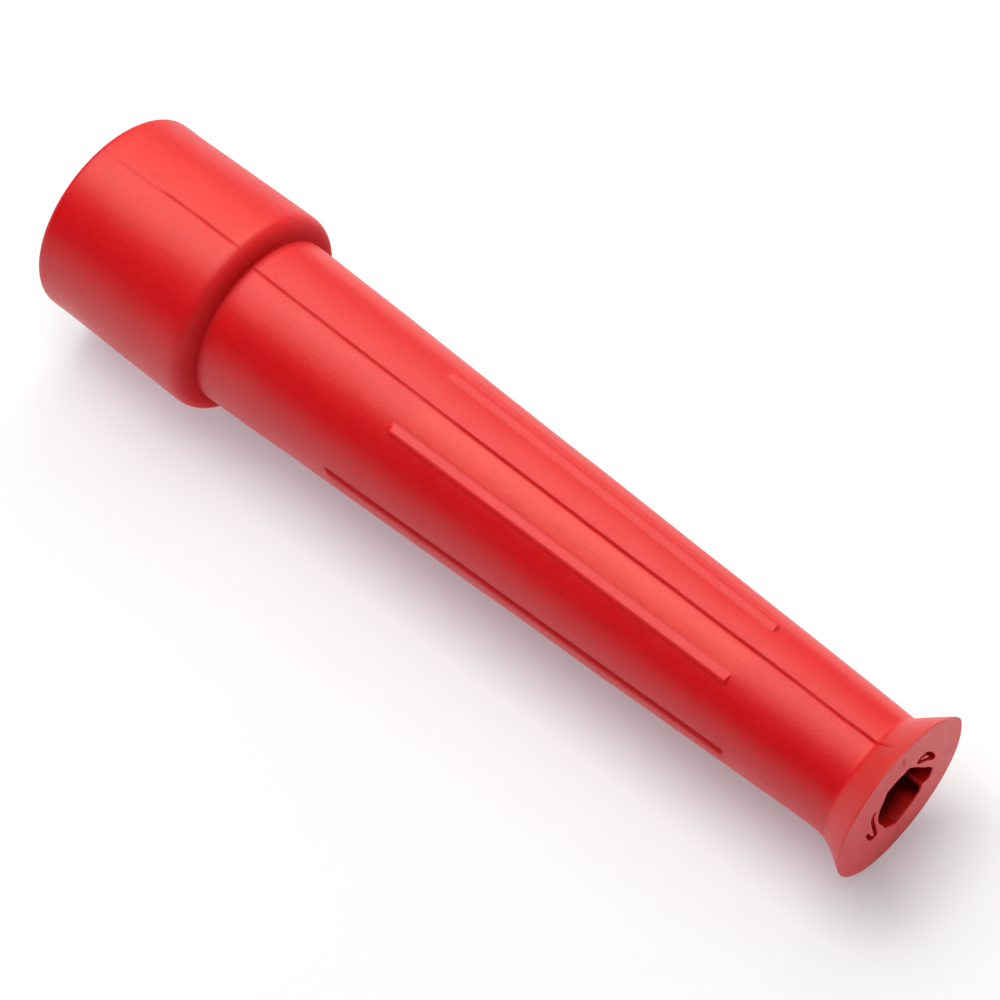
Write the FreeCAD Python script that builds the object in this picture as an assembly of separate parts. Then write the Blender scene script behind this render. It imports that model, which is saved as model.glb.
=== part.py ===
import FreeCAD, Part
import math
import os

# Post driver: a hand tool slipped over a slim round post and struck with a hammer.
# One moulded rubber sleeve (head collar, tapered grip with six grip ribs, flared hand
# stop, notched mouth) covers a steel drive tube and a steel anvil joined by a spring pin.
# All lengths in millimetres. The tool lies on its side: its axis is parallel to +X with
# the striking end at -X and the mouth at +X, and the mould's parting line is on top (+Z).
# Stations called h_... run along the axis from the sleeve's striking end towards the mouth.

V = FreeCAD.Vector

# ---- driving dimensions: sleeve outside -------------------------------------------
length = 228.6            # sleeve, striking end to mouth face
r_head_end = 25.07        # head collar radius at the striking end
r_head = 25.52            # head collar radius at its shoulder
end_fillet = 1.4          # rim of the striking end
h_head = 46.1             # shoulder station: head collar meets the grip
shoulder_r = 4.3          # quarter round of the shoulder
r_grip_head = 20.97       # grip radius at the head collar
r_grip_mid = 18.155       # grip radius halfway, a little proud of a straight taper
r_grip_mouth = 15.16      # grip radius where the hand stop flares out
h_flare = 221.55          # start of the flared hand stop
r_flare_mid = 18.02       # flare radius halfway, slightly convex
r_flare = 20.08           # hand stop rim radius
rim_land = 0.25           # small flat land of the rim

# ---- driving dimensions: grip ribs -------------------------------------------------
rib_h = 0.95              # height above the grip
rib_top = 1.05            # width of a side rib's flat top
rib_wall_deg = 32.4       # a side rib's steep wall, degrees from the parting line
side_rib = (95.9, 189.2)  # stations of the four side ribs' ends
flank_rib = (84.5, 195.0) # stations of the two long ribs 90 degrees from the parting line
flank_rib_w = 3.0
flank_rib_h = 0.55        # they stand lower than the side ribs

# ---- driving dimensions: mouth -----------------------------------------------------
mouth_depth = 14.0        # from the mouth face to the end of the drive tube
r_mouth = 7.2             # the round hole in the rubber, just clear of the post
# notches that widen the hole, open to it all the way down: degrees round from the parting
# line towards +Y, half width in degrees, radius of the root
mouth_notches = ((-5.5, 22.0, 10.1), (156.5, 35.5, 10.1), (106.0, 14.0, 11.4))
# two blind curved slots outside a web of rubber: degrees round, half width in degrees,
# inner and outer radius
mouth_slots = ((55.5, 25.0, 9.3, 11.7), (-92.0, 37.0, 8.0, 10.2))
slot_depth = 5.0

# ---- driving dimensions: steel inside ----------------------------------------------
tube_r = 10.67            # half-inch heavy wall pipe: 21.34 outside
bore_r = 6.935            # and 13.87 inside, for 12.7 mm rod posts
tube_groove = 0.6         # depth of the two rolled grooves that lock the rubber on
tube_groove_w = 5.0
tube_groove_h = (92.0, 186.0)
tube_lead_in = 1.2        # lead-in chamfer of the bore at the mouth end
anvil_r = 17.5
anvil_proud = 1.5         # the struck face stands this far out of the rubber
anvil_chamfer = 1.2
anvil_len = 40.0          # struck face to the shoulder that the tube butts on
spigot_r = 7.6            # sits in a counterbore of the tube, so the tube's step bears on it too
spigot_len = 22.0         # plugs the tube's head end; the post's top bears on its face
spigot_chamfer = 0.5
lock_groove = 2.0         # depth of the groove around the anvil, filled by the rubber
lock_groove_h = (15.0, 24.0)
pin_r = 2.0               # slotted spring pin through the tube and the spigot
pin_wall = 0.8
pin_slot = 0.8
pin_h = 49.5
pin_len = 20.6

# ---- place in the row frame --------------------------------------------------------
x0 = -(length - anvil_proud) / 2.0      # the whole tool's middle is at x = 0
zc = r_head                             # the head collar's lowest line is at z = 0


def place(shape):
    out = shape.copy()
    out.translate(V(x0, 0, zc))
    return out


def polar(r, deg):
    """y, z of a point at radius r, deg degrees from the parting line towards +Y."""
    a = math.radians(deg)
    return r * math.sin(a), r * math.cos(a)


def revolve(edges):
    face = Part.Face(Part.Wire(edges))
    return face.revolve(V(0, 0, 0), V(1, 0, 0), 360)


def seg(a, b):
    return Part.LineSegment(V(a[0], 0, a[1]), V(b[0], 0, b[1])).toShape()


def arc(a, m, b):
    return Part.Arc(V(a[0], 0, a[1]), V(m[0], 0, m[1]), V(b[0], 0, b[1])).toShape()


def corner(cx, cr, r, deg):
    a = math.radians(deg)
    return (cx + r * math.cos(a), cr + r * math.sin(a))


def lathe(points):
    return revolve([seg(points[i], points[(i + 1) % len(points)]) for i in range(len(points))])


def grip_radius(h):
    """Grip surface radius at station h, on the arc through its three given radii."""
    hm = (h_head + h_flare) / 2.0
    u = (h - hm) / ((h_flare - h_head) / 2.0)
    lin = (r_grip_head + r_grip_mouth) / 2.0 + u * (r_grip_mouth - r_grip_head) / 2.0
    return lin + (r_grip_mid - (r_grip_head + r_grip_mouth) / 2.0) * (1 - u * u)


# ---- grip sleeve: outside ----------------------------------------------------------
hm = (h_head + h_flare) / 2.0
f = end_fillet
s = shoulder_r
slope = (r_head - r_head_end) / (h_head - s)
r_fil = r_head_end + slope * f
outline = [
    seg((0, 0), (0, r_fil - f)),
    arc((0, r_fil - f), corner(f, r_fil - f, f, 135), (f, r_fil)),
    seg((f, r_fil), (h_head - s, r_head)),
    arc((h_head - s, r_head), corner(h_head - s, r_head - s, s, 45), (h_head, r_head - s)),
    seg((h_head, r_head - s), (h_head, r_grip_head)),
    arc((h_head, r_grip_head), (hm, r_grip_mid), (h_flare, r_grip_mouth)),
    arc((h_flare, r_grip_mouth), ((h_flare + length) / 2.0, r_flare_mid), (length - rim_land, r_flare)),
    seg((length - rim_land, r_flare), (length, r_flare)),
    seg((length, r_flare), (length, 0)),
    seg((length, 0), (0, 0)),
]
sleeve = revolve(outline)


def prism(h1, h2, section):
    """Ruled solid between the sections at h1 and h2; section(h) gives (y, z) corners."""
    wires = []
    for h in (h1, h2):
        pts = [V(h, y, z) for y, z in section(h)]
        wires.append(Part.makePolygon(pts + [pts[0]]))
    return Part.makeLoft(wires, True, True)


def side_section(sign, up):
    """A side rib. Its flank towards the parting line is square to the mould's opening
    direction, so it is a shallow ramp; the other wall is steep."""

    def section(h):
        r = grip_radius(h)
        wall_y, wall_z = polar(1.0, rib_wall_deg)
        tan_y, tan_z = wall_z, -wall_y
        outer = (wall_y * (r + rib_h), wall_z * (r + rib_h))
        inner = (wall_y * (r - 2.5), wall_z * (r - 2.5))
        top = (outer[0] - tan_y * rib_top, outer[1] - tan_z * rib_top)
        top_r = math.hypot(*top)
        top = (top[0] * (r + rib_h) / top_r, top[1] * (r + rib_h) / top_r)
        foot = (top[0] - 4.0, top[1])
        root = (foot[0] * (r - 2.5) / math.hypot(*foot), foot[1] * (r - 2.5) / math.hypot(*foot))
        return [(sign * y, up * z) for y, z in (outer, top, foot, root, inner)]

    return section


def flank_section(sign):
    def section(h):
        r = grip_radius(h)
        w = flank_rib_w / 2.0
        return [(sign * y, z) for y, z in ((r - 2.5, -w), (r + flank_rib_h, -w),
                                         (r + flank_rib_h, w), (r - 2.5, w))]

    return section


ribs = []
for sign in (1, -1):
    for up in (1, -1):
        ribs.append(prism(side_rib[0], side_rib[1], side_section(sign, up)))
    ribs.append(prism(flank_rib[0], flank_rib[1], flank_section(sign)))
sleeve = sleeve.fuse(ribs)

# ---- steel anvil -------------------------------------------------------------------
h_shoulder = anvil_len - anvil_proud
h_spigot = h_shoulder + spigot_len
g0, g1 = lock_groove_h
anvil = lathe([
    (-anvil_proud, 0), (-anvil_proud, anvil_r - anvil_chamfer),
    (-anvil_proud + anvil_chamfer, anvil_r), (g0, anvil_r), (g0 + 1.0, anvil_r - lock_groove),
    (g1 - 1.0, anvil_r - lock_groove), (g1, anvil_r), (h_shoulder, anvil_r),
    (h_shoulder, spigot_r), (h_spigot - spigot_chamfer, spigot_r), (h_spigot, spigot_r - spigot_chamfer),
    (h_spigot, 0),
])

# ---- steel drive tube --------------------------------------------------------------
h_tube = length - mouth_depth
outer_line = [(h_shoulder, spigot_r), (h_shoulder, tube_r)]
for mid in tube_groove_h:
    a, b = mid - tube_groove_w / 2.0, mid + tube_groove_w / 2.0
    outer_line += [(a, tube_r), (a + tube_groove, tube_r - tube_groove),
                   (b - tube_groove, tube_r - tube_groove), (b, tube_r)]
outer_line += [(h_tube, tube_r)]
tube = lathe(outer_line + [(h_tube, bore_r + tube_lead_in), (h_tube - tube_lead_in, bore_r),
                           (h_spigot, bore_r), (h_spigot, spigot_r)])
tube_core = lathe([(h_shoulder, 0)] + outer_line[1:] + [(h_tube, 0)])

# ---- spring pin across the tube and the spigot -------------------------------------
pin_axis = V(0, 1, 0)
hole = Part.makeCylinder(pin_r, 2 * tube_r + 4, V(pin_h, -tube_r - 2, 0), pin_axis)
pin = Part.makeCylinder(pin_r, pin_len, V(pin_h, -pin_len / 2.0, 0), pin_axis)
pin = pin.cut(Part.makeCylinder(pin_r - pin_wall, pin_len + 2, V(pin_h, -pin_len / 2.0 - 1, 0), pin_axis))
pin = pin.cut(Part.makeBox(2 * pin_r, pin_len + 2, pin_slot,
                           V(pin_h + 0.3, -pin_len / 2.0 - 1, -pin_slot / 2.0)))

# ---- grip sleeve: inside -----------------------------------------------------------
def sector(r_out, h1, h2, mid, half):
    """A wedge about the axis: degrees mid - half to mid + half towards +Y, radius 0 to r_out."""
    wedge = Part.makeCylinder(r_out, h2 - h1, V(h1, 0, 0), V(1, 0, 0), 2 * half)
    # its start is along this direction before the turn
    face_dir = wedge.CenterOfMass - V(wedge.CenterOfMass.x, 0, 0)
    now = math.degrees(math.atan2(face_dir.y, face_dir.z))
    wedge.rotate(V(0, 0, 0), V(1, 0, 0), now - mid)
    return wedge


mouth = Part.makeCylinder(r_mouth, mouth_depth + 1.0, V(h_tube, 0, 0), V(1, 0, 0))
for mid, half, root in mouth_notches:
    mouth = mouth.fuse(sector(root, h_tube, length + 1.0, mid, half))
slots = []
for mid, half, r_in, r_out in mouth_slots:
    slot = sector(r_out, length - slot_depth, length + 1.0, mid, half)
    slots.append(slot.cut(Part.makeCylinder(r_in, length, V(length - slot_depth - 1, 0, 0), V(1, 0, 0))))
sleeve = sleeve.cut(anvil).cut(tube_core).cut([mouth] + slots)

anvil = anvil.cut(hole)
tube = tube.cut(hole)

# ---- write one file per piece ------------------------------------------------------
os.makedirs("parts", exist_ok=True)
for name, shape in (("grip_sleeve", sleeve), ("drive_tube", tube),
                    ("strike_anvil", anvil), ("anvil_pin", pin)):
    shape = place(shape)
    solid = shape.Solids[0] if len(shape.Solids) == 1 else shape
    print(name, "solids", len(shape.Solids), "valid", shape.isValid(),
          "volume_cm3", round(shape.Volume / 1000.0, 3), "box", shape.BoundBox)
    solid.exportStep("parts/" + name + ".step")
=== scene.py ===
import math

import bpy
import numpy as np
from mathutils import Matrix, Vector


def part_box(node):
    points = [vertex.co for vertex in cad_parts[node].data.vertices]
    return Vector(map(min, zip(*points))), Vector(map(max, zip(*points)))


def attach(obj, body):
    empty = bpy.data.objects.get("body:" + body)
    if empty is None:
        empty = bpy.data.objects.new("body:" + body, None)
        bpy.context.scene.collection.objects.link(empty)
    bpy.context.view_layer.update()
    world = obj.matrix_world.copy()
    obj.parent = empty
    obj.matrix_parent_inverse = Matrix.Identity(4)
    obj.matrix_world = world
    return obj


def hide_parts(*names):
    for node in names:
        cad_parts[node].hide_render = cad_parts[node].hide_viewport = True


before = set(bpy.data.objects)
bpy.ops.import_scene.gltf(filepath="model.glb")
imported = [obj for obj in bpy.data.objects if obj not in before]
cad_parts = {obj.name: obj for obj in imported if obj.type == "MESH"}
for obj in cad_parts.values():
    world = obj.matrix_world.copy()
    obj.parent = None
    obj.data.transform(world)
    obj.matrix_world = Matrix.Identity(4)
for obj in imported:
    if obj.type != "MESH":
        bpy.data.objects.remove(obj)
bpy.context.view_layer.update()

MM = 0.001

# ---------------------------------------------------------------- where the sleeve lies
lo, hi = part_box("grip_sleeve")
X0 = lo.x / MM                       # striking end of the sleeve, mm
LENGTH = (hi.x - lo.x) / MM
ZC = (lo.z + hi.z) / 2 / MM          # height of the axis, mm

# ---------------------------------------------------------------- the moulding's sizes, mm
R_END, R_HEAD, H_HEAD, SHOULDER = 25.07, 25.52, 46.1, 4.3
R_GRIP0, R_GRIP_MID, R_GRIP1, H_FLARE = 20.97, 18.155, 15.16, 221.55
R_FLARE_MID, R_FLARE = 17.80, 20.08
END_FILLET = 1.4
RIB_H, BEAD_H, BEAD_W = 0.66, 0.52, 1.75
CREST_R = 1.2
SIDE_RIB = (95.9, 189.2)
FLANK_RIB = (84.5, 195.0)
# The hole in the mouth, (degrees from the parting line, radius): nearly round at the two mould
# halves, closed by a web at each side, with one wider notch.
HOLE = [(-180.0, 10.70), (-177.3, 10.63), (-174.3, 10.52), (-168.1, 10.16), (-160.1, 10.06), (-153.4, 10.0),
        (-147.4, 9.98), (-141.3, 10.08), (-135.5, 10.28), (-128.5, 9.78), (-121.2, 9.35), (-119.7, 11.35),
        (-118.8, 11.48), (-111.8, 11.62), (-104.1, 11.40), (-92.9, 9.77), (-78.7, 8.38), (-66.0, 7.80),
        (-55.5, 7.72), (-46.0, 7.90), (-36.0, 8.21), (-21.0, 9.25), (-13.6, 10.15), (-10.4, 10.10), (-3.3, 9.75),
        (4.5, 10.08), (12.0, 10.21), (19.4, 10.31), (24.8, 10.57), (27.2, 10.30), (36.0, 8.94), (51.2, 8.08),
        (65.7, 7.34), (82.8, 6.75), (95.0, 6.60), (107.4, 6.60), (120.0, 6.62), (133.1, 6.85), (144.0, 7.70),
        (154.6, 8.78), (161.5, 9.16), (169.8, 9.84), (175.6, 10.62), (180.0, 10.70)]
# two thin curved slots in the mouth face, as paths of (radius, degrees), and their widths
SLOT_LOOP = [(10.85, -33.0), (11.45, -41.0), (11.52, -46.0), (11.22, -57.0), (11.18, -70.0), (11.15, -78.5),
             (10.75, -74.0), (10.40, -66.0), (9.90, -57.0), (9.72, -47.0), (9.55, -39.5), (10.2, -32.5), (10.85, -33.0)]
SLOT_HOOK = [(10.22, 55.9), (10.0, 63.1), (9.34, 71.7), (8.5, 84.6), (8.18, 103.3), (8.48, 116.9), (9.19, 127.3),
             (9.69, 124.5), (10.04, 118.2), (10.2, 106.7), (10.34, 95.4)]
SLOT_W, SLOT_DEPTH = (0.82, 0.80), 4.2
FACE_IN = 12.7                       # the slots and notches all lie inside this radius
MOUTH_DEPTH = 14.0
TUBE_R, ANVIL_R, H_ANVIL = 10.67, 17.5, 38.5


def smin(a, b, k):
    h = np.clip(0.5 + 0.5 * (b - a) / k, 0, 1)
    return b + (a - b) * h - k * h * (1 - h)


def smax(a, b, k):
    return -smin(-a, -b, k)


def step(x, a, b):
    t = np.clip((x - a) / (b - a), 0, 1)
    return t * t * (3 - 2 * t)


def waves(x, seeds):
    """A slow wander with no repeat on this length: a few sines. seeds: (wavelength, phase, size)."""
    return sum(s * np.sin(2 * np.pi * x / w + p) for w, p, s in seeds)


# How far the top parting line strays from theta = 0, in degrees, and how plainly it shows: the
# two mould halves do not quite meet, most of all along the grip.
SEAM_TRACK = [(0, .75), (18.5, .6), (20.5, .05), (31, -.1), (36, .22), (41, .45), (48, .3), (54, .45),
              (60, .65), (66, .45), (72, .72), (84, .75), (96, .7), (105, .87), (117, .85), (126, .7),
              (132, .5), (135, .75), (141, .5), (144, .75), (150, .4), (153, .52), (159, .3), (165, 0),
              (168, -.2), (171, .05), (180, -.05), (186, -.48), (195, -.82), (204, -1.0), (207, -.62),
              (210, -.7), (213, -.35), (216, -.8), (219, -1.2), (222, -1.1), (228.6, -.8)]
SEAM_SHOW = [(0, .16), (18.8, .20), (20.4, .62), (40.5, .66), (42.5, .30), (46.0, .30), (47.6, .66), (100, .72), (112, .92), (128, 1.0), (144, 1.12),
             (152, 1.0), (190, .98), (200, .80), (208, .80), (214, .95), (222.8, .98), (224.3, .60), (225.6, .12), (228.6, .10)]


def track(table, h, soften=0.0):
    xs, ys = zip(*table)
    if soften:
        return sum(np.interp(h + d * soften, xs, ys) for d in (-1, -0.5, 0, 0.5, 1)) / 5
    return np.interp(h, xs, ys)


def seam_wander(h):
    return track(SEAM_TRACK, h, 1.2)


def seam_wander_under(h):
    return waves(h, [(150, 2.4, 0.40), (47, 1.2, 0.16), (19, 0.3, 0.07), (8.3, 1.0, 0.04)])


def grip_r(h):
    hm, hw = (H_HEAD + H_FLARE) / 2, (H_FLARE - H_HEAD) / 2
    u = np.clip((h - hm) / hw, -1, 1)
    mean = (R_GRIP0 + R_GRIP1) / 2
    return mean + u * (R_GRIP1 - R_GRIP0) / 2 + (R_GRIP_MID - mean) * (1 - u * u)


# ---------------------------------------------------------------- columns round the sleeve
def wrap(v):
    return ((v + 180) % 360) - 180


def spread(values, fill, close=0.16):
    """Sorted angles from -180, near-duplicates dropped, gaps wider than fill divided."""
    have = sorted({round(float(wrap(v)), 3) for v in values})
    keep = [have[0]]
    for v in have[1:]:
        if v - keep[-1] >= close:
            keep.append(v)
    out = []
    for a, b in zip(keep, keep[1:] + [keep[0] + 360]):
        n = max(1, math.ceil((b - a) / fill))
        out += [a + (b - a) * k / n for k in range(n)]
    return out


def columns():
    """Nominal angles in degrees from the parting line towards the front (-Y), -180 to 180."""
    v = []
    seam = [0, 0.3, 0.6, 0.9, 1.2, 1.55, 2.0, 2.6, 3.5]
    for base in (0, 180):
        v += [base + s for s in seam] + [base - s for s in seam]
    side = [20.8, 21.8, 22.6, 23.3, 24.0, 24.8, 26.0, 27.2, 28.0, 28.5, 29.0, 29.5, 30.0, 30.4, 30.75, 31.0,
            31.2, 31.4, 31.6, 31.8, 32.05, 32.4, 32.9, 33.6, 34.6, 36.2]
    flank = [0, 1.2, 2.4, 3.6, 4.6, 5.3, 5.75, 6.05, 6.35, 6.8, 7.6, 9.0]
    for sgn in (1, -1):
        v += [sgn * s for s in side] + [sgn * (180 - s) for s in side]
        v += [sgn * 90 + f for f in flank] + [sgn * 90 - f for f in flank]
    return spread(v, 2.6)


def mouth_columns():
    """Angles for the mouth face: close together at its notches and slots."""
    v = [-180.0]
    v += [-122.2, -121.6, -121.2, -120.8, -120.3, -119.8, -119.3, -118.6] + list(np.arange(-117.0, -92.0, 1.8))
    v += list(np.arange(-84.0, -27.5, 0.8)) + list(np.arange(52.0, 131.0, 0.85))
    v += list(np.arange(-17.0, -2.0, 1.4)) + list(np.arange(21.0, 29.0, 1.3)) + list(np.arange(166.0, 180.0, 1.8))
    return spread(v, 3.0, 0.3)


U = columns()
UM = mouth_columns()
while len(UM) < len(U):                  # the same number of columns in both sets
    k = max(range(len(UM)), key=lambda i: (UM[i + 1] if i + 1 < len(UM) else UM[0] + 360) - UM[i])
    UM.insert(k + 1, (UM[k] + (UM[k + 1] if k + 1 < len(UM) else UM[0] + 360)) / 2)
while len(U) < len(UM):
    k = max(range(len(U)), key=lambda i: (U[i + 1] if i + 1 < len(U) else U[0] + 360) - U[i])
    U.insert(k + 1, (U[k] + (U[k + 1] if k + 1 < len(U) else U[0] + 360)) / 2)
U, UM = np.array(U), np.array(UM)
NC = len(U)


def outer_angle(h):
    """theta of each column at station h: the columns near the parting lines follow them, and
    those of the parting lines and the flank beads keep their spacing in mm."""
    r = np.interp(h, [0, H_HEAD, H_HEAD + 0.1, H_FLARE, LENGTH], [25.2, 25.2, R_GRIP0, R_GRIP1, R_FLARE])
    th = U.copy()
    under = wrap(U - 180)
    for d, shift in ((U, seam_wander(h)), (under, seam_wander_under(h))):
        w = 1 - step(np.abs(d), 4.0, 12.0)
        th = th + w * (shift + d * (18.0 / r - 1))
    for c0 in (90.0, -90.0):
        d = U - c0
        w = 1 - step(np.abs(d), 7.0, 15.0)
        th = th + d * (17.9 / r - 1) * w * (step(h, 60, 80) - step(h, 200, 214))
    return th


def outer_profile():
    """Stations of the outer skin from the anvil's edge round to the mouth face: (h, r, kind)."""
    rows = []
    # striking end face: ring around the anvil
    for r in (ANVIL_R, ANVIL_R + 0.25, ANVIL_R + 0.6, 18.6, 19.6, 20.8, 22.0, 22.9, 23.4):
        dip = 0.30 * math.exp(-((r - ANVIL_R) / 0.35) ** 2)
        rows.append((dip, r))
    slope = (R_HEAD - R_END) / (H_HEAD - SHOULDER)
    rf = R_END + slope * END_FILLET
    for a in np.linspace(176, 94, 9):
        t = math.radians(a)
        rows.append((END_FILLET + END_FILLET * math.cos(t), rf - END_FILLET + END_FILLET * math.sin(t)))
    for h in np.concatenate([[1.6, 2.1, 3.0], np.arange(4.5, 41.0, 1.5)]):
        rows.append((h, R_END + slope * h))
    for a in np.linspace(90, 0, 13):
        t = math.radians(a)
        rows.append((H_HEAD - SHOULDER + SHOULDER * math.cos(t), R_HEAD - SHOULDER + SHOULDER * math.sin(t)))
    # the dark crease at the shoulder's foot: a small undercut, then the grip
    g0 = float(grip_r(np.array(H_HEAD)))
    rows[-1] = (H_HEAD - 0.04, R_HEAD - SHOULDER + 0.02)
    rows += [(H_HEAD + 0.02, g0 + 0.02), (H_HEAD + 0.14, g0 - 0.10), (H_HEAD + 0.34, g0 - 0.13),
             (H_HEAD + 0.58, g0 - 0.09), (H_HEAD + 0.9, g0 - 0.05)]
    ends = []
    for e, inward in ((SIDE_RIB[0], 1), (SIDE_RIB[1], -1), (FLANK_RIB[0], 1), (FLANK_RIB[1], -1)):
        ends += [e + inward * d for d in (-0.7, -0.35, -0.12, 0.02, 0.16, 0.32, 0.5, 0.75, 1.1, 1.6)]
    body = set(np.round(np.arange(48.2, 219.4, 1.9), 3)) | set(np.round(ends, 3))
    body = sorted(body)
    keep = []
    ends = set(np.round(ends, 3))
    for h in body:
        if keep and h - keep[-1] < 0.8 and h not in ends:
            continue
        if keep and h - keep[-1] < 0.1:
            continue
        keep.append(h)
    rows += [(h, float(grip_r(np.array(h)))) for h in keep]
    # flare: a small fillet out of the grip, then a slightly convex cone to a thin rim
    hf, hl = H_FLARE, LENGTH

    def flare_r(h):
        t = (h - hf) / (hl - 0.25 - hf)
        lin = R_GRIP1 + (R_FLARE - R_GRIP1) * t
        return lin + (R_FLARE_MID - (R_GRIP1 + R_FLARE) / 2) * 4 * t * (1 - t)

    for h in (219.6, 220.2, 220.7, 221.1, 221.4, 221.7, 222.0, 222.35, 222.8, 223.4, 224.1, 224.9, 225.7, 226.4, 227.0, 227.5, 227.9, 228.15):
        rows.append((h, float(smax(grip_r(np.array(min(h, hf))), flare_r(h) if h > hf - 1.2 else 0.0, 0.55)) if h > hf - 1.5 else float(grip_r(np.array(h)))))
    rows += [(hl - 0.22, R_FLARE - 0.03), (hl - 0.09, R_FLARE + 0.0), (hl - 0.02, R_FLARE - 0.06), (hl, R_FLARE - 0.17)]
    return rows


def hole_r(u):
    a, r = zip(*HOLE)
    return np.interp(wrap(np.asarray(u, float)), a, r)


def path_distance(y, z, path):
    """Distance in mm from each (y, z) to a path of (radius, degrees) points in the mouth face."""
    pts = np.array([(-r * math.sin(math.radians(a)), r * math.cos(math.radians(a))) for r, a in path])
    best = np.full(np.shape(y), 1e9)
    for p, q in zip(pts, pts[1:]):
        d = q - p
        t = np.clip(((y - p[0]) * d[0] + (z - p[1]) * d[1]) / (d @ d), 0, 1)
        best = np.minimum(best, np.hypot(y - p[0] - t * d[0], z - p[1] - t * d[1]))
    return best


def slot_sink(y, z):
    out = np.zeros(np.shape(y))
    for path, w in ((SLOT_LOOP, SLOT_W[0]), (SLOT_HOOK, SLOT_W[1])):
        d = path_distance(y, z, path)
        out = np.maximum(out, 1 - step(d, w / 2 - 0.04, w / 2 + 0.07))
    return out


def rib_field(h, th, base):
    """Radius of the skin with the grip ribs, for the columns th (degrees) at station h."""
    rad = np.full(NC, base)
    top = base + RIB_H
    a = np.abs(wrap(th))
    fold = np.minimum(a, 180 - a)           # 0 at either parting line, 90 at the flanks
    # side ribs: a ramp square to the mould's opening, a rounded crest, then a steep wall
    w = step(h, SIDE_RIB[0] - 0.25, SIDE_RIB[0] + 0.95) * (1 - step(h, SIDE_RIB[1] - 0.22, SIDE_RIB[1] + 0.04))
    if w > 0:
        z_top = top * math.cos(math.radians(28.5))
        ramp = z_top / np.cos(np.radians(np.minimum(fold, 70)))
        yc, zc0 = z_top * math.tan(math.radians(28.5)), z_top - CREST_R
        c, tc = math.hypot(yc, zc0), math.degrees(math.atan2(yc, zc0))
        d = np.radians(fold - tc)
        crest = c * np.cos(d) + np.sqrt(np.maximum(CREST_R ** 2 - (c * np.sin(d)) ** 2, 0))
        body = np.where(fold < 28.5, ramp, crest)
        u = base * np.radians(fold - 30.95)
        body = smin(body, base + 0.90 - 0.90 * u / 0.62, 0.20)
        body = np.where(fold < 46, body, base - 5)
        foot = np.where(fold > 30, 0.34, 0.20)
        rad = rad + w * (smax(rad, body, foot) - rad)
    # flank beads: low and rounded, with a sharp crease at each side
    w = step(h, FLANK_RIB[0] - 0.25, FLANK_RIB[0] + 1.2) * (1 - step(h, FLANK_RIB[1] - 0.6, FLANK_RIB[1] + 0.05))
    if w > 0:
        x = base * np.radians(90 - fold) / BEAD_W
        body = BEAD_H * (1 - x * x)
        crease = 0.13 * np.exp(-(((np.abs(x) - 1.0) * BEAD_W) / 0.36) ** 2)
        rad = rad + w * (np.where(fold > 75, np.maximum(body, 0), 0) - np.where(fold > 75, crease, 0))
    return rad


def wall_at(h, th):
    """How far each column is on the steep wall of a side rib, 0 to 1."""
    fold = np.minimum(np.abs(wrap(th)), 180 - np.abs(wrap(th)))
    k = float(step(np.array(h), SIDE_RIB[0] - 0.2, SIDE_RIB[0] + 0.9) * (1 - step(np.array(h), SIDE_RIB[1] - 0.4, SIDE_RIB[1] + 0.1)))
    u = np.radians(fold - 30.95) * 17.5
    return k * np.exp(-((u - 0.42) / 0.42) ** 2)


def flare_side(h, th):
    """The hand stop is not quite round: how far its skin stands out or in, mm."""
    k = step(h, H_FLARE, LENGTH - 0.5)
    return k * (0.42 * np.exp(-(wrap(th + 70) / 11.0) ** 2) + 0.12 * np.exp(-(wrap(th + 60) / 40.0) ** 2)
                - 0.34 * np.exp(-(wrap(th - 113) / 32.0) ** 2))


def creases(h, th):
    """How deep in a crease of the grip ribs each column lies, 0 to 1, and the depth of the fine lines beside the far
    side rib, mm; the first value, with the lines added, darkens them in colour as painted shade."""
    fold = np.minimum(np.abs(wrap(th)), 180 - np.abs(wrap(th)))
    k = float(step(np.array(h), FLANK_RIB[0] - 0.3, FLANK_RIB[0] + 1.0) * (1 - step(np.array(h), FLANK_RIB[1] - 0.6, FLANK_RIB[1] + 0.1)))
    x = np.abs(np.radians(90 - fold) * 17.9) - BEAD_W
    # painted shade along the flank beads' creases
    dark = 0.95 * k * np.exp(-((x + 0.22) / 0.56) ** 2) * (fold > 70)
    k = float(step(np.array(h), SIDE_RIB[0] + 1, SIDE_RIB[0] + 8) * (1 - step(np.array(h), SIDE_RIB[1] - 4, SIDE_RIB[1] - 0.5)))
    far = wrap(th)
    lines = 0.0
    for at, wide, size in ((-31.3, 0.55, 1.0), (-41.0, 0.9, 0.50), (-52.0, 1.3, 0.40)):
        lines = lines + size * np.exp(-((far - at) / wide) ** 2)
    return dark + 0.55 * k * lines, 0.05 * k * lines


def bloom_at(h, th):
    """Where the red is painted paler: the top of the head; most of all the strip of the grip between the parting line
    and the near side rib, worn pale by handling; and a painted sheen in a band 35 to 64 degrees to the back of the
    parting line, along the grip."""
    a = wrap(th)
    strip = step(a, 1.0, 5.0) * (1 - step(a, 21.5, 24.0))
    k = float(step(np.array(h), 92.0, 104.0) * (1 - step(np.array(h), 184.0, 196.0)))
    near = step(a, 0.0, 6.0) * (1 - step(a, 22.0, 32.0))
    wide = step(a, -34.0, -14.0) * (1 - step(a, 12.0, 30.0))
    if h < 43:
        return 0.45 * wide * float(step(np.array(h), 0.5, 4.0))
    # painted sheen: a paler band on the back side of the grip, where the skin turns from the light
    back = 0.65 * step(-a, 35.0, 42.0) * (1 - step(-a, 56.0, 64.0))
    return np.clip(1.0 * k * strip + ((1 - k) * 0.30 * near + back) * float(step(np.array(h), 47.0, 52.0)), 0, 1)


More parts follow.
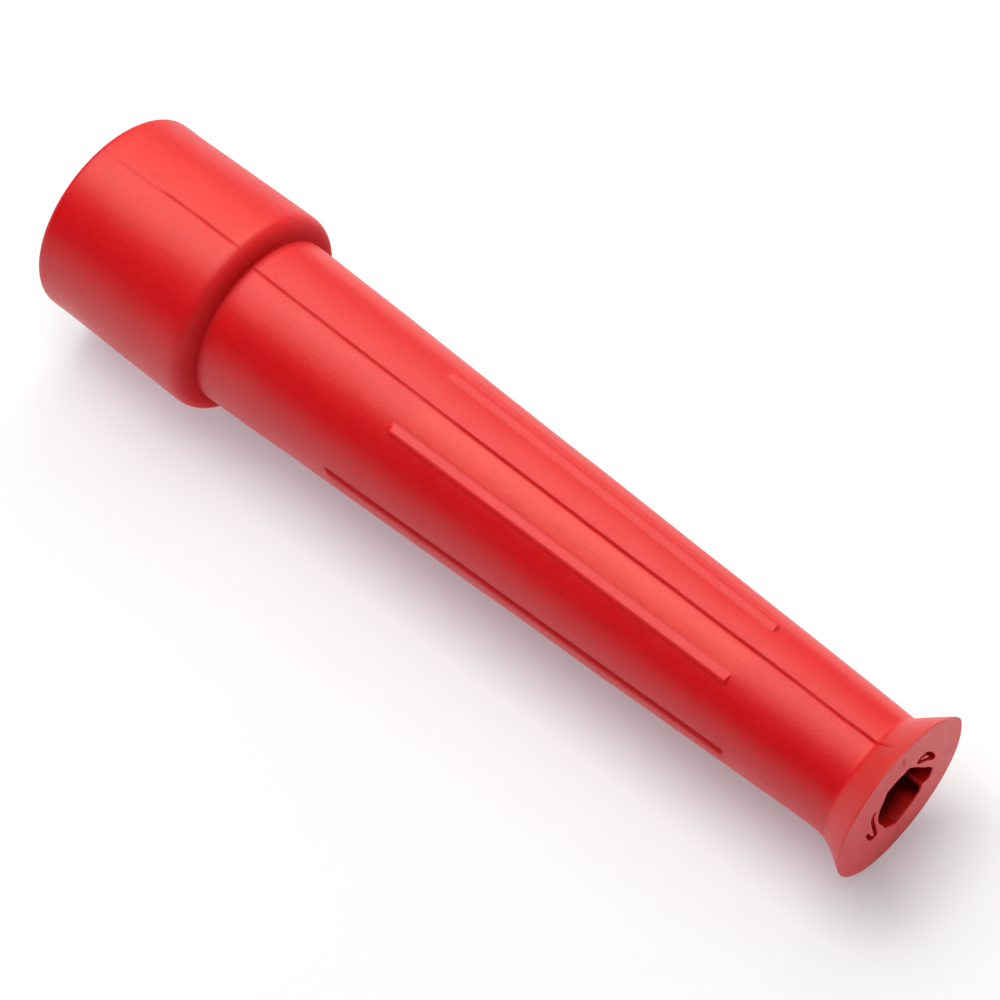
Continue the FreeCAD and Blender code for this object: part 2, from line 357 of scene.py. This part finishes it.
def build_sleeve():
    prof = outer_profile()
    verts = []
    attrs = {n: [] for n in ("seam", "crevice", "bloom", "scuffed", "deep", "wall")}
    rows = 0

    def add_ring(h, y, z, seam=0.0, crev=0.0, **more):
        nonlocal rows
        verts.append(np.stack([np.broadcast_to(np.asarray(h, float), (NC,)), y, z], 1))
        more.update(seam=seam, crevice=crev)
        for n, data in attrs.items():
            data.append(np.broadcast_to(np.asarray(more.get(n, 0.0), float), (NC,)))
        rows += 1

    for h, r in prof:
        th = outer_angle(h)
        rad = np.full(NC, r)
        if SIDE_RIB[0] - 12 < h < FLANK_RIB[1] + 2:
            rad = rib_field(h, th, r)
        if h > H_FLARE - 8:
            # a soft fillet under the hand stop on the lower side only
            low = np.exp(-(wrap(th - 118) / 45.0) ** 2)
            cone = R_GRIP1 + (R_FLARE - R_GRIP1) * (h - H_FLARE) / (LENGTH - 0.25 - H_FLARE)
            soft_r = smax(float(grip_r(np.array(min(h, H_FLARE)))), cone, 3.2)
            if h < LENGTH - 1.0:
                rad = rad + low * max(0.0, float(soft_r) - r)
            rad = rad + flare_side(h, th)
        # parting line: top and underneath, the same width in mm all along
        rr = max(r, 12.0)
        mm_top = wrap(th - (seam_wander(h) if h < LENGTH - 0.01 else 0)) * math.radians(1) * rr
        mm_und = wrap(th - 180 - seam_wander_under(h)) * math.radians(1) * rr
        g_top = np.exp(-(mm_top / 0.34) ** 2)
        g_und = np.exp(-(mm_und / 0.30) ** 2)
        lip = np.exp(-((np.abs(mm_top) - 0.62) / 0.2) ** 2) + np.exp(-((np.abs(mm_und) - 0.62) / 0.2) ** 2)
        fade = 1.0 if r > 23.6 or h > 2 else 0.25
        show = float(track(SEAM_SHOW, h, 0.5)) * float(1 + waves(h, [(37, 0.2, 0.08), (11, 1.4, 0.07), (4.3, 0.9, 0.06)]))
        rad = rad - fade * 0.30 * (show * g_top + 0.6 * g_und) + fade * 0.015 * show * lip
        # moulding unevenness: a few hundredths of a millimetre
        T = np.radians(th)
        soft = (0.035 * np.sin(h / 17.3 + 2 * T + 0.4) + 0.03 * np.sin(h / 9.1 - 3 * T + 1.9)
                + 0.018 * np.sin(h / 5.3 + 5 * T) + 0.012 * np.sin(h / 3.1 - 7 * T + 0.8))
        ease = step(np.array(h), 2.5, 6.0) * (1 - step(np.array(h), 226.0, 228.2))
        rad = rad + soft * float(ease) - 0.05 * float(ease)
        dark, fine = creases(h, th)
        rad = rad - fine
        # the parting line's groove and the shoulder's foot crease are darkened in colour as painted shade
        seam = fade * np.minimum(1, show) * g_top + fade * 0.6 * g_und
        crev = math.exp(-((h - (H_HEAD + 0.2)) / 0.80) ** 2) if r < 22.2 else math.exp(-((h - (H_HEAD + 0.2)) / 2.0) ** 2) * 0.85
        # the hand stop is rubbed dull and pale, most on the side away from the floor
        cone = float(step(np.array(h), H_FLARE - 0.2, H_FLARE + 1.4)) * (1 - 0.8 * step(wrap(th), 25.0, 75.0)) * (1 - 0.4 * step(-wrap(th), 5.0, 40.0))
        hh = np.full(NC, h)
        add_ring(hh, -rad * np.sin(T), rad * np.cos(T), seam, np.maximum(crev, dark), bloom=bloom_at(h, th), scuffed=cone,
                 wall=wall_at(h, th))
    # mouth face: from the rim to the notched hole, columns sliding from the skin's angles to the hole's
    T = outer_angle(LENGTH)
    edge = R_FLARE - 0.17 + flare_side(LENGTH, T)
    shift = wrap(UM - T)
    inner = hole_r(UM) + 0.26
    for f in (0.04, 0.10, 0.18, 0.27, 0.37, 0.47, 0.57, 0.67, 0.77, 0.88, 1.0):
        a = np.radians(T + shift * step(f, 0.1, 1.0))
        r = edge + (FACE_IN - edge) * f
        y, z = -r * np.sin(a), r * np.cos(a)
        # the mould's parting line shows as a short mark in the face, above and below the hole
        m = 0.0
        for path in ([(13.8, -2.1), (17.5, 0.2)], [(12.8, 181.8), (14.3, 182.0)]):
            m = np.maximum(m, np.exp(-(path_distance(y, z, path) / 0.24) ** 2))
        # the mark is a shallow dent, darkened as painted shade
        add_ring(LENGTH - 0.05 * math.sin(math.pi * f) - 0.12 * m, y, z, m * 0.6)
    a = np.radians(UM)
    n = 32
    for k in range(1, n + 1):
        r = FACE_IN + (inner - FACE_IN) * k / n
        y, z = -r * np.sin(a), r * np.cos(a)
        # the slots sink into the face; their walls and floors are darkened as painted shade
        sink = slot_sink(y, z)
        add_ring(LENGTH - SLOT_DEPTH * sink, y, z, 0.0, sink, deep=0.75 * step(sink, 0.55, 1.0))
    hole = hole_r(UM)
    for inset, dh in ((0.20, 0.03), (0.09, 0.10), (0.02, 0.24), (0.0, 0.45), (0.0, 0.8), (0.0, 1.3), (0.0, 1.9), (0.0, 2.6), (0.0, 3.4), (0.0, 4.6), (0.0, 7.0), (0.0, 10.5), (0.0, MOUTH_DEPTH)):
        # flutes inside the far wall, starting just under the face
        flute = 2.2 * np.exp(-(wrap(UM + 138.5) / 6.5) ** 2) + 1.5 * np.exp(-(wrap(UM + 111) / 6.0) ** 2)
        r = hole + inset + flute * float(step(np.array(dh), 0.15, 1.3))
        shade = np.exp(-(wrap(UM + 139) / 6.0) ** 2) + 0.8 * np.exp(-(wrap(UM + 108) / 7.0) ** 2)
        # the hole's wall: painted light, paler for its first few millimetres under the face; painted shade, darker
        # deeper in and along the flutes
        add_ring(LENGTH - dh, -r * np.sin(a), r * np.cos(a),
                 bloom=0.6 * (1 - float(step(np.array(dh), 1.4, 3.6))),
                 deep=np.clip(float(step(np.array(dh), 1.4, 4.6)) + shade * float(step(np.array(dh), 0.15, 1.3)), 0, 1))
    # hidden seats: against the tube's end, along the tube, and round the anvil, darkened as painted shade
    for h, r in ((LENGTH - MOUTH_DEPTH - 0.02, TUBE_R + 0.02), (LENGTH - MOUTH_DEPTH - 1.0, TUBE_R + 0.02), (150, TUBE_R + 0.02),
                 (80, TUBE_R + 0.02), (H_ANVIL + 0.02, TUBE_R + 0.02), (H_ANVIL + 0.02, ANVIL_R), (20.0, ANVIL_R), (1.2, ANVIL_R)):
        mix = min(1.0, max(0.0, (200 - h) / 100))
        b = np.radians(UM + wrap(U - UM) * mix)
        add_ring(h, -r * np.sin(b), r * np.cos(b), deep=1.0)
    V = np.concatenate(verts)
    V[:, 0] += X0
    V[:, 2] += ZC
    V *= MM
    i = np.arange(rows)[:, None]
    j = np.arange(NC)[None, :]
    a = i * NC + j
    b = i * NC + (j + 1) % NC
    i2 = (i + 1) % rows
    c2 = i2 * NC + (j + 1) % NC
    d2 = i2 * NC + j
    faces = np.stack([a, b, c2, d2], -1).reshape(-1, 4)
    mesh = bpy.data.meshes.new("grip_sleeve_moulding")
    mesh.vertices.add(len(V))
    mesh.vertices.foreach_set("co", V.astype(np.float32).ravel())
    mesh.loops.add(faces.size)
    mesh.loops.foreach_set("vertex_index", faces.astype(np.int32).ravel())
    mesh.polygons.add(len(faces))
    mesh.polygons.foreach_set("loop_start", np.arange(0, faces.size, 4, dtype=np.int32))
    mesh.polygons.foreach_set("loop_total", np.full(len(faces), 4, np.int32))
    mesh.update(calc_edges=True)
    mesh.validate()
    for name, data in attrs.items():
        at = mesh.attributes.new(name, "FLOAT", "POINT")
        at.data.foreach_set("value", np.concatenate(data).astype(np.float32))
    mesh.polygons.foreach_set("use_smooth", np.ones(len(faces), bool))
    ob = bpy.data.objects.new("grip_sleeve_moulding", mesh)
    bpy.context.scene.collection.objects.link(ob)
    # outward normals
    import bmesh
    bm = bmesh.new()
    bm.from_mesh(mesh)
    bmesh.ops.recalc_face_normals(bm, faces=bm.faces)
    if bm.calc_volume(signed=True) < 0:
        bmesh.ops.reverse_faces(bm, faces=bm.faces)
    bm.to_mesh(mesh)
    bm.free()
    mesh.set_sharp_from_angle(angle=math.radians(48))
    return ob


# ---------------------------------------------------------------- node helpers
def node(tree, kind, **settings):
    n = tree.nodes.new(kind)
    for k, v in settings.items():
        if k in n.inputs:
            n.inputs[k].default_value = v
        else:
            setattr(n, k, v)
    return n


def noise(tree, vec, scale, detail=4.0, rough=0.55, distortion=0.0):
    n = node(tree, "ShaderNodeTexNoise")
    n.inputs["Scale"].default_value = scale
    n.inputs["Detail"].default_value = detail
    n.inputs["Roughness"].default_value = rough
    n.inputs["Distortion"].default_value = distortion
    tree.links.new(vec, n.inputs["Vector"])
    return n.outputs["Fac"]


def math_(tree, op, a, b=None, clamp=False):
    n = node(tree, "ShaderNodeMath", operation=op, use_clamp=clamp)
    for i, v in enumerate((a, b)):
        if v is None:
            continue
        if isinstance(v, (int, float)):
            n.inputs[i].default_value = v
        else:
            tree.links.new(v, n.inputs[i])
    return n.outputs[0]


def ramp(tree, fac, stops):
    n = node(tree, "ShaderNodeValToRGB")
    el = n.color_ramp.elements
    while len(el) > 1:
        el.remove(el[-1])
    el[0].position = stops[0][0]
    el[0].color = (*stops[0][1], 1) if len(stops[0][1]) == 3 else stops[0][1]
    for p, c in stops[1:]:
        e = el.new(p)
        e.color = (*c, 1)
    tree.links.new(fac, n.inputs["Fac"])
    return n.outputs["Color"]


def map_range(tree, v, a, b, c, d):
    n = node(tree, "ShaderNodeMapRange")
    n.clamp = True
    for i, x in enumerate((a, b, c, d), 1):
        n.inputs[i].default_value = x
    tree.links.new(v, n.inputs[0])
    return n.outputs[0]


def mix_rgb(tree, fac, a, b, blend="MIX"):
    n = node(tree, "ShaderNodeMix", data_type="RGBA", blend_type=blend)
    if isinstance(fac, (int, float)):
        n.inputs[0].default_value = fac
    else:
        tree.links.new(fac, n.inputs[0])
    for i, v in ((6, a), (7, b)):
        if isinstance(v, tuple):
            n.inputs[i].default_value = (*v, 1)
        else:
            tree.links.new(v, n.inputs[i])
    return n.outputs[2]


def rubber_material():
    m = bpy.data.materials.new("moulded_red_rubber")
    m.use_nodes = True
    t = m.node_tree
    bsdf = t.nodes["Principled BSDF"]
    co = node(t, "ShaderNodeTexCoord").outputs["Object"]
    sep = node(t, "ShaderNodeSeparateXYZ")
    t.links.new(co, sep.inputs[0])
    seam = node(t, "ShaderNodeAttribute", attribute_name="seam").outputs["Fac"]
    crev = node(t, "ShaderNodeAttribute", attribute_name="crevice").outputs["Fac"]
    bloom = node(t, "ShaderNodeAttribute", attribute_name="bloom").outputs["Fac"]
    scuffed = node(t, "ShaderNodeAttribute", attribute_name="scuffed").outputs["Fac"]
    deep = node(t, "ShaderNodeAttribute", attribute_name="deep").outputs["Fac"]
    wall = node(t, "ShaderNodeAttribute", attribute_name="wall").outputs["Fac"]
    broad = noise(t, co, 28, 3)
    # light scratches, drawn out along the tool
    stretch = node(t, "ShaderNodeMapping")
    stretch.inputs["Scale"].default_value = (90, 900, 900)
    t.links.new(co, stretch.inputs["Vector"])
    streak = noise(t, stretch.outputs[0], 1.0, 3, 0.6)
    mott = noise(t, co, 260, 5, 0.6)
    fine = noise(t, co, 1500, 6, 0.62)
    # colour: pigment mottling; paler wear with painted sheen and painted light; painted shade in the parting line, the
    # creases, the slots and the hole
    base = ramp(t, broad, [(0.30, (0.79, 0.0013, 0.0085)), (0.70, (0.85, 0.0018, 0.0080))])
    base = mix_rgb(t, math_(t, "MULTIPLY", map_range(t, mott, 0.45, 0.75, 0, 1), 0.10), base, (0.86, 0.010, 0.014))
    base = mix_rgb(t, math_(t, "MULTIPLY", map_range(t, fine, 0.50, 0.68, 0, 1), 0.34), base, (0.52, 0.001, 0.005))
    patchy = map_range(t, mott, 0.32, 0.62, 0.55, 1.0)
    # paler wear, with a painted sheen on the back band and painted light at the hole's lip
    base = mix_rgb(t, math_(t, "MULTIPLY", bloom, patchy, True), base, (0.94, 0.043, 0.025))
    base = mix_rgb(t, math_(t, "MULTIPLY", scuffed, map_range(t, mott, 0.30, 0.65, 0.62, 1.0), True), base, (0.67, 0.044, 0.044))
    marks = math_(t, "MULTIPLY", map_range(t, streak, 0.55, 0.68, 0, 1), map_range(t, broad, 0.40, 0.56, 0.15, 1))
    base = mix_rgb(t, math_(t, "MULTIPLY", marks, 0.34, True), base, (0.64, 0.002, 0.006))
    # painted shade in the parting line's groove
    base = mix_rgb(t, math_(t, "MULTIPLY", seam, 0.80, True), base, (0.46, 0.0008, 0.002))
    # painted shade in the creases, the fine lines and the slots
    base = mix_rgb(t, math_(t, "MULTIPLY", crev, 0.55, True), base, (0.48, 0.0006, 0.004))
    # painted shade: darkest down the hole, the slots and the hidden seats
    base = mix_rgb(t, math_(t, "MULTIPLY", deep, 0.90, True), base, (0.10, 0.0004, 0.002))
    # painted light: a side rib's steep wall is painted brighter, and made matt, so that the shade at its foot shows no
    # dark or grey line
    base = mix_rgb(t, wall, base, (0.97, 0.0008, 0.006))
    t.links.new(base, bsdf.inputs["Base Color"])
    # it is as matt as the bottom of the parting line and of the creases
    rough = map_range(t, mott, 0.3, 0.7, 0.38, 0.46)
    dull = math_(t, "MAXIMUM", math_(t, "MAXIMUM", math_(t, "MAXIMUM", seam, crev), deep), wall)
    rough = math_(t, "ADD", rough, math_(t, "MULTIPLY", dull, 0.55, True), True)
    t.links.new(rough, bsdf.inputs["Roughness"])
    bsdf.inputs["Specular IOR Level"].default_value = 0.5
    bsdf.inputs["Subsurface Weight"].default_value = 0.25
    bsdf.inputs["Subsurface Radius"].default_value = (1.0, 0.04, 0.05)
    bsdf.inputs["Subsurface Scale"].default_value = 0.0014
    b1 = node(t, "ShaderNodeBump")
    b1.inputs["Strength"].default_value = 0.35
    b1.inputs["Distance"].default_value = 0.00010
    t.links.new(mott, b1.inputs["Height"])
    b2 = node(t, "ShaderNodeBump")
    b2.inputs["Strength"].default_value = 0.6
    b2.inputs["Distance"].default_value = 0.00009
    t.links.new(fine, b2.inputs["Height"])
    t.links.new(b1.outputs[0], b2.inputs["Normal"])
    t.links.new(b2.outputs[0], bsdf.inputs["Normal"])
    return m


def steel_material(name, tint, rough, worn):
    m = bpy.data.materials.new(name)
    m.use_nodes = True
    t = m.node_tree
    bsdf = t.nodes["Principled BSDF"]
    co = node(t, "ShaderNodeTexCoord").outputs["Object"]
    broad = noise(t, co, 120, 4)
    fine = noise(t, co, 1800, 5, 0.6)
    dark = tuple(c * 0.45 for c in tint)
    base = ramp(t, broad, [(0.30, dark), (0.62, tint)])
    base = mix_rgb(t, math_(t, "MULTIPLY", map_range(t, fine, 0.55, 0.75, 0, 1), 0.4), base, (0.10, 0.06, 0.045))
    t.links.new(base, bsdf.inputs["Base Color"])
    bsdf.inputs["Metallic"].default_value = 1.0
    t.links.new(map_range(t, fine, 0.3, 0.7, rough - 0.08, rough + 0.12), bsdf.inputs["Roughness"])
    b = node(t, "ShaderNodeBump")
    b.inputs["Strength"].default_value = 0.5
    b.inputs["Distance"].default_value = 0.00008 if worn else 0.00004
    t.links.new(broad if worn else fine, b.inputs["Height"])
    t.links.new(b.outputs[0], bsdf.inputs["Normal"])
    return m


rubber = rubber_material()
sleeve = build_sleeve()
sleeve.data.materials.append(rubber)
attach(sleeve, "root")
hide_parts("grip_sleeve")

for n, mat in (("drive_tube", steel_material("tube_steel", (0.42, 0.42, 0.43), 0.42, False)),
               ("strike_anvil", steel_material("anvil_steel", (0.56, 0.55, 0.54), 0.34, True)),
               ("anvil_pin", steel_material("pin_steel", (0.25, 0.25, 0.26), 0.40, False))):
    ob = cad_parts[n]
    for s in range(len(ob.material_slots)):
        ob.material_slots[s].material = mat

# ---------------------------------------------------------------- floor: what the tool lies on
# The head collar's shoulder and the hand stop's rim both rest on it.
xa, za = (X0 + H_HEAD - SHOULDER) * MM, (ZC - R_HEAD) * MM
xb, zb = (X0 + LENGTH - 0.2) * MM, (ZC - R_FLARE) * MM
tilt = math.atan2(zb - za, xb - xa)
mesh = bpy.data.meshes.new("floor")
S = 4.0
mesh.from_pydata([(-S, -S, 0), (S, -S, 0), (S, S, 0), (-S, S, 0)], [], [(0, 1, 2, 3)])
floor = bpy.data.objects.new("floor", mesh)
bpy.context.scene.collection.objects.link(floor)
floor.rotation_euler = (0, -tilt, 0)
floor.location = (xa, 0, za - 0.0002)
fm = bpy.data.materials.new("pale_floor")
fm.use_nodes = True
ft = fm.node_tree
fb = ft.nodes["Principled BSDF"]
fco = node(ft, "ShaderNodeTexCoord").outputs["Object"]
fcol = ramp(ft, noise(ft, fco, 3.0, 3), [(0.3, (0.535, 0.535, 0.535)), (0.7, (0.565, 0.565, 0.565))])
ft.links.new(fcol, fb.inputs["Base Color"])
fb.inputs["Roughness"].default_value = 0.9
fb.inputs["Emission Color"].default_value = (0.82, 0.92, 1.0, 1)
# painted shadow: the floor's glow fades under and close beside the tool
fsep = node(ft, "ShaderNodeSeparateXYZ")
ft.links.new(fco, fsep.inputs[0])
mid_x = (X0 + LENGTH / 2) * MM - xa
dx = math_(ft, "MAXIMUM", math_(ft, "SUBTRACT", math_(ft, "ABSOLUTE", math_(ft, "SUBTRACT", fsep.outputs[0], mid_x)), LENGTH / 2 * MM), 0.0)
dy = math_(ft, "MAXIMUM", math_(ft, "SUBTRACT", math_(ft, "ABSOLUTE", fsep.outputs[1]), 0.008), 0.0)
away = math_(ft, "SQRT", math_(ft, "ADD", math_(ft, "MULTIPLY", dx, dx), math_(ft, "MULTIPLY", dy, dy)))
glow_with_painted_shadow = map_range(ft, away, 0.0, 0.020, 0.30, 0.53)
ft.links.new(glow_with_painted_shadow, fb.inputs["Emission Strength"])
mesh.materials.append(fm)

# a pale backdrop beyond the floor, seen by the camera only, so it lights nothing
import bmesh
mesh = bpy.data.meshes.new("backdrop")
bm = bmesh.new()
bmesh.ops.create_uvsphere(bm, u_segments=48, v_segments=24, radius=3.9)
bm.to_mesh(mesh)
bm.free()
backdrop = bpy.data.objects.new("backdrop", mesh)
bpy.context.scene.collection.objects.link(backdrop)
bd = bpy.data.materials.new("pale_backdrop")
bd.use_nodes = True
bdn = bd.node_tree.nodes["Principled BSDF"]
bdn.inputs["Base Color"].default_value = (0, 0, 0, 1)
bdn.inputs["Specular IOR Level"].default_value = 0.0
bdn.inputs["Emission Color"].default_value = (0.82, 0.92, 1.0, 1)
bdn.inputs["Emission Strength"].default_value = 0.56
mesh.materials.append(bd)
for flag in ("visible_diffuse", "visible_glossy", "visible_transmission", "visible_shadow"):
    setattr(backdrop, flag, False)

# ---------------------------------------------------------------- light
scene = bpy.context.scene
world = bpy.data.worlds.new("studio")
scene.world = world
world.use_nodes = True
bg = world.node_tree.nodes["Background"]
bg.inputs[0].default_value = (1, 1, 1, 1)
bg.inputs[1].default_value = 0.0


# Large soft panels on a 1.5 m dome round the tool: overhead, behind, and behind the head.
def panel(name, elevation, azimuth, watts, tint=(1, 1, 1)):
    e, a = math.radians(elevation), math.radians(azimuth)
    d = Vector((math.cos(e) * math.cos(a), math.cos(e) * math.sin(a), math.sin(e)))
    data = bpy.data.lights.new(name, "AREA")
    data.shape = "DISK"
    data.size = 1.0
    data.energy = watts
    data.color = tint
    ob = bpy.data.objects.new(name, data)
    scene.collection.objects.link(ob)
    ob.location = d * 1.5
    ob.rotation_euler = (-d).to_track_quat("-Z", "Y").to_euler()
    ob.visible_camera = False


panel("panel_overhead", 90, 0, 6.9, (1.0, 0.946, 0.913))
panel("panel_head_high", 58, 180, 7.7, (0.979, 1.0, 0.939))
panel("panel_back_high", 58, 120, 7.74, (0.987, 1.0, 0.919))
panel("panel_back_low", 32, 112.5, 4.14, (0.908, 1.0, 0.826))
panel("panel_back_mouth_low", 32, 67.5, 0.70, (1.0, 0.79, 0.69))
panel("panel_head_back_low", 32, 157.5, 0.50, (0.9, 1.0, 0.54))
panel("panel_back_floor", 8, 135, 0.46, (0.28, 1.0, 0.26))
panel("panel_front_head", 58, 240, 1.11, (1.0, 0.60, 0.63))
panel("panel_front_mouth", 58, 0, 0.54, (1.0, 0.25, 0.22))
panel("panel_front_high", 58, 300, 0.49, (1.0, 0.25, 0.22))
panel("panel_back_mouth", 58, 60, 0.46, (1.0, 0.25, 0.22))
panel("panel_mouth_right", 32, 337.5, 0.38, (1.0, 0.25, 0.22))
panel("panel_mouth_left", 32, 22.5, 0.36, (1.0, 0.25, 0.22))
panel("panel_front_low", 32, 292.5, 0.32, (1.0, 0.25, 0.22))
panel("panel_mouth_low", 8, 0, 1.7, (1.0, 0.55, 0.53))


# ---------------------------------------------------------------- camera at the photograph's viewing angle
F_PX, K = 3568.81, 0.2169            # focal length in pixels, mm per pixel at the centre plane
TAU, RHO = math.radians(22.392), math.radians(36.87)
T0, S0 = -41.565, -0.639
a_ax = Vector((1, 0, 0))
U_ax, V_ax = Vector((0, 0, 1)), Vector((0, -1, 0))
e2 = 0.9212 * U_ax + 0.3891 * V_ax
e1 = -0.3891 * U_ax + 0.9212 * V_ax
T_hat = math.cos(TAU) * a_ax - math.sin(TAU) * e2
D_hat = -math.sin(TAU) * a_ax - math.cos(TAU) * e2
S_hat = e1
right = math.cos(RHO) * T_hat - math.sin(RHO) * S_hat
down = math.sin(RHO) * T_hat + math.cos(RHO) * S_hat
O = Vector((X0 + 108.70, 0, ZC))
C = (O - T0 * K * T_hat - S0 * K * S_hat - F_PX * K * D_hat) * MM
cam_data = bpy.data.cameras.new("camera")
cam_data.sensor_width = 36.0
cam_data.lens = 36.0 * F_PX / 1000.0
cam_data.clip_start, cam_data.clip_end = 0.05, 20
cam = bpy.data.objects.new("camera", cam_data)
scene.collection.objects.link(cam)
m = Matrix((right, -down, -D_hat)).transposed().to_4x4()
m.translation = C
cam.matrix_world = m
scene.camera = cam
scene.view_settings.view_transform = "Standard"
scene.view_settings.look = "None"
